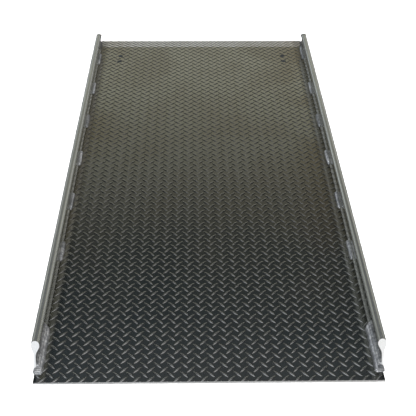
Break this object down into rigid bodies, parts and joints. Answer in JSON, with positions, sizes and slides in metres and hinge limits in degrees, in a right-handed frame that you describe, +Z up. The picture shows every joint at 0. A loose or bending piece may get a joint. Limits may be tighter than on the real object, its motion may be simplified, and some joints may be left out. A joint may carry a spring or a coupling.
{
  "type": "loading ramp",
  "caption": "Rigid aluminium loading ramp with a raised-tread deck, beaded side curbs, a bent apron and stringers underneath.",
  "frame": {"origin": "centre of the bounding box in plan, at the height of the stringers' undersides, which rest on the floor", "axes": "+X to the right seen from the ground end, +Y along the ramp towards the truck end and its apron, +Z up from the deck"},
  "size_m": [0.7762, 1.8312, 0.1197],
  "materials": {
    "tread_plate": "mill finish with a raised tread, reflecting dark surroundings",
    "curb_aluminium": "satin extrusion with fine die lines",
    "weld_aluminium": "rippled weld bead, satin",
    "frame_aluminium": "satin extrusion",
    "zinc_steel": "zinc plated, bluish, satin"
  },
  "bodies": {
    "ramp": {"centre_stringer": "frame_aluminium", "centre_stringer_far_weld": "weld_aluminium", "centre_stringer_middle_weld": "weld_aluminium", "centre_stringer_near_weld": "weld_aluminium", "deck_plate": "tread_plate", "left_chain_ring_clip": "zinc_steel", "left_curb_end_weld": "weld_aluminium", "left_curb_far_weld": "weld_aluminium", "left_curb_near_weld": "weld_aluminium", "left_curb_stitch_1_weld": "weld_aluminium", "left_curb_stitch_2_weld": "weld_aluminium", "left_curb_stitch_3_weld": "weld_aluminium", "left_curb_stitch_4_weld": "weld_aluminium", "left_curb_stitch_5_weld": "weld_aluminium", "left_far_anchor_bolt": "zinc_steel", "left_far_anchor_nut": "zinc_steel", "left_far_anchor_washer": "zinc_steel", "left_far_cross_member": "frame_aluminium", "left_far_cross_weld": "weld_aluminium", "left_middle_cross_member": "frame_aluminium", "left_middle_cross_weld": "weld_aluminium", "left_near_anchor_bolt": "zinc_steel", "left_near_anchor_nut": "zinc_steel", "left_near_anchor_washer": "zinc_steel", "left_near_cross_member": "frame_aluminium", "left_near_cross_weld": "weld_aluminium", "left_side_curb": "curb_aluminium", "left_stringer": "frame_aluminium", "left_stringer_far_weld": "weld_aluminium", "left_stringer_middle_weld": "weld_aluminium", "left_stringer_near_weld": "weld_aluminium", "right_chain_ring_clip": "zinc_steel", "right_curb_end_weld": "weld_aluminium", "right_curb_far_weld": "weld_aluminium", "right_curb_near_weld": "weld_aluminium", "right_curb_stitch_1_weld": "weld_aluminium", "right_curb_stitch_2_weld": "weld_aluminium", "right_curb_stitch_3_weld": "weld_aluminium", "right_curb_stitch_4_weld": "weld_aluminium", "right_curb_stitch_5_weld": "weld_aluminium", "right_far_anchor_bolt": "zinc_steel", "right_far_anchor_nut": "zinc_steel", "right_far_anchor_washer": "zinc_steel", "right_far_cross_member": "frame_aluminium", "right_far_cross_weld": "weld_aluminium", "right_middle_cross_member": "frame_aluminium", "right_middle_cross_weld": "weld_aluminium", "right_near_anchor_bolt": "zinc_steel", "right_near_anchor_nut": "zinc_steel", "right_near_anchor_washer": "zinc_steel", "right_near_cross_member": "frame_aluminium", "right_near_cross_weld": "weld_aluminium", "right_side_curb": "curb_aluminium", "right_stringer": "frame_aluminium", "right_stringer_far_weld": "weld_aluminium", "right_stringer_middle_weld": "weld_aluminium", "right_stringer_near_weld": "weld_aluminium"},
    "left_ring": {"left_chain_ring": "zinc_steel"},
    "right_ring": {"right_chain_ring": "zinc_steel"}
  },
  "joints": [
    {"name": "left_ring_swing", "type": "hinge", "parent": "ramp", "child": "left_ring", "pos_m": [-0.298, 0.7314, 0.0466], "axis": [1, 0, 0], "range_deg": [-65, 65]},
    {"name": "right_ring_swing", "type": "hinge", "parent": "ramp", "child": "right_ring", "pos_m": [0.298, 0.7314, 0.0466], "axis": [1, 0, 0], "range_deg": [-65, 65]}
  ]
}
